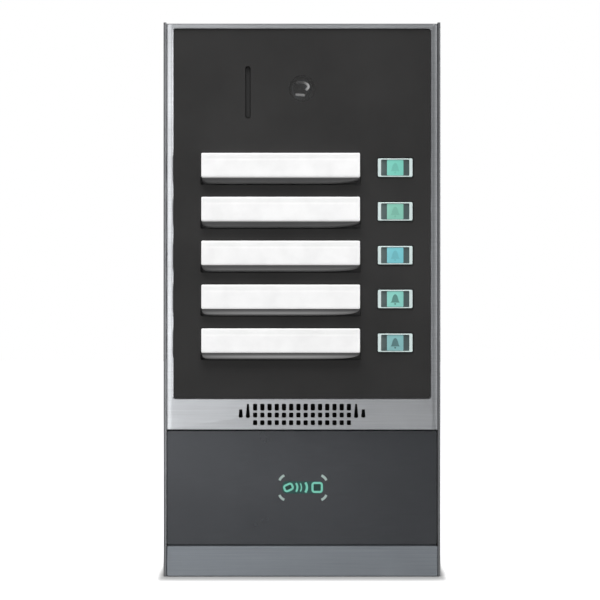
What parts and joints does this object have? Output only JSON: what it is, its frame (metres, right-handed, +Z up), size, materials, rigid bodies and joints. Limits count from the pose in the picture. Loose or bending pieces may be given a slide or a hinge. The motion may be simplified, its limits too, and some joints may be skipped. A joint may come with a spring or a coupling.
{
  "type": "door intercom panel",
  "caption": "Surface-mounted entrance intercom panel with a column of name-plate call keys, camera, microphone slot, loudspeaker grille and card reader in an aluminium housing.",
  "frame": {"origin": "middle of the rear face of the back box, on the wall", "axes": "+X to the right of a visitor facing the panel, +Z up, +Y into the wall, so the front faces -Y"},
  "size_m": [0.096, 0.0344, 0.192],
  "materials": {
    "silver_aluminium": "fine satin, clear anodised",
    "dark_anodised": "satin, dark anodised",
    "black_acrylic": "satin black",
    "dark_reader_plate": "satin graphite",
    "black_plastic": "fine moulded texture",
    "rubber_seal": "matt",
    "silicone_mat": "matt silicone",
    "circuit_board": "solder mask",
    "green_terminal": "moulded",
    "screw_steel": "bright",
    "smoked_window": "polished, smoked",
    "lens_glass": "coated glass",
    "speaker_paper": "coated paper",
    "clear_light_guide": "polished acrylic",
    "key_grey": "satin",
    "name_card_paper": "matt card, lit from behind",
    "key_cover_clear": "polished acrylic",
    "bell_window_teal": "polished, lit from behind",
    "switch_body": "moulded",
    "switch_plunger": "moulded"
  },
  "bodies": {
    "panel": {"front_frame": "silver_aluminium", "top_cap": "silver_aluminium", "bottom_cap": "silver_aluminium", "left_side_rail": "dark_anodised", "right_side_rail": "dark_anodised", "upper_fascia": "black_acrylic", "reader_panel": "dark_reader_plate", "back_box": "black_plastic", "chassis": "black_plastic", "board_link": "black_plastic", "camera_barrel": "black_plastic", "speaker_basket": "black_plastic", "wall_gasket": "rubber_seal", "cable_grommet": "rubber_seal", "microphone_boot": "rubber_seal", "speaker_gasket": "rubber_seal", "key_mat": "silicone_mat", "key_board": "circuit_board", "main_board": "circuit_board", "camera_board": "circuit_board", "reader_antenna_board": "circuit_board", "terminal_block": "green_terminal", "security_screw_left": "screw_steel", "security_screw_right": "screw_steel", "speaker_magnet": "screw_steel", "microphone_capsule": "screw_steel", "camera_window": "smoked_window", "camera_lens": "lens_glass", "speaker_cone": "speaker_paper", "reader_light_guide": "clear_light_guide", "tact_switch_1": "switch_body", "tact_switch_2": "switch_body", "tact_switch_3": "switch_body", "tact_switch_4": "switch_body", "tact_switch_5": "switch_body"},
    "key_1": {"call_key_1": "key_grey", "name_card_1": "name_card_paper", "key_cover_1": "key_cover_clear", "bell_window_1": "bell_window_teal"},
    "key_2": {"call_key_2": "key_grey", "name_card_2": "name_card_paper", "key_cover_2": "key_cover_clear", "bell_window_2": "bell_window_teal"},
    "key_3": {"call_key_3": "key_grey", "name_card_3": "name_card_paper", "key_cover_3": "key_cover_clear", "bell_window_3": "bell_window_teal"},
    "key_4": {"call_key_4": "key_grey", "name_card_4": "name_card_paper", "key_cover_4": "key_cover_clear", "bell_window_4": "bell_window_teal"},
    "key_5": {"call_key_5": "key_grey", "name_card_5": "name_card_paper", "key_cover_5": "key_cover_clear", "bell_window_5": "bell_window_teal"},
    "plunger_1": {"switch_plunger_1": "switch_plunger"},
    "plunger_2": {"switch_plunger_2": "switch_plunger"},
    "plunger_3": {"switch_plunger_3": "switch_plunger"},
    "plunger_4": {"switch_plunger_4": "switch_plunger"},
    "plunger_5": {"switch_plunger_5": "switch_plunger"}
  },
  "joints": [
    {"name": "call_key_1_press", "type": "slide", "parent": "panel", "child": "key_1", "axis": [0, 1, 0], "range_m": [0, 0.001], "stiffness_N_per_m": 600, "springref_m": -0.0008},
    {"name": "call_key_2_press", "type": "slide", "parent": "panel", "child": "key_2", "axis": [0, 1, 0], "range_m": [0, 0.001], "stiffness_N_per_m": 600, "springref_m": -0.0008},
    {"name": "call_key_3_press", "type": "slide", "parent": "panel", "child": "key_3", "axis": [0, 1, 0], "range_m": [0, 0.001], "stiffness_N_per_m": 600, "springref_m": -0.0008},
    {"name": "call_key_4_press", "type": "slide", "parent": "panel", "child": "key_4", "axis": [0, 1, 0], "range_m": [0, 0.001], "stiffness_N_per_m": 600, "springref_m": -0.0008},
    {"name": "call_key_5_press", "type": "slide", "parent": "panel", "child": "key_5", "axis": [0, 1, 0], "range_m": [0, 0.001], "stiffness_N_per_m": 600, "springref_m": -0.0008},
    {"name": "switch_plunger_1_press", "type": "slide", "parent": "panel", "child": "plunger_1", "axis": [0, 1, 0], "range_m": [0, 0.0008], "stiffness_N_per_m": 60},
    {"name": "switch_plunger_2_press", "type": "slide", "parent": "panel", "child": "plunger_2", "axis": [0, 1, 0], "range_m": [0, 0.0008], "stiffness_N_per_m": 60},
    {"name": "switch_plunger_3_press", "type": "slide", "parent": "panel", "child": "plunger_3", "axis": [0, 1, 0], "range_m": [0, 0.0008], "stiffness_N_per_m": 60},
    {"name": "switch_plunger_4_press", "type": "slide", "parent": "panel", "child": "plunger_4", "axis": [0, 1, 0], "range_m": [0, 0.0008], "stiffness_N_per_m": 60},
    {"name": "switch_plunger_5_press", "type": "slide", "parent": "panel", "child": "plunger_5", "axis": [0, 1, 0], "range_m": [0, 0.0008], "stiffness_N_per_m": 60}
  ],
  "couplings": [
    {"joint": "switch_plunger_1_press", "follows": "call_key_1_press", "ratio": 0.75},
    {"joint": "switch_plunger_2_press", "follows": "call_key_2_press", "ratio": 0.75},
    {"joint": "switch_plunger_3_press", "follows": "call_key_3_press", "ratio": 0.75},
    {"joint": "switch_plunger_4_press", "follows": "call_key_4_press", "ratio": 0.75},
    {"joint": "switch_plunger_5_press", "follows": "call_key_5_press", "ratio": 0.75}
  ]
}
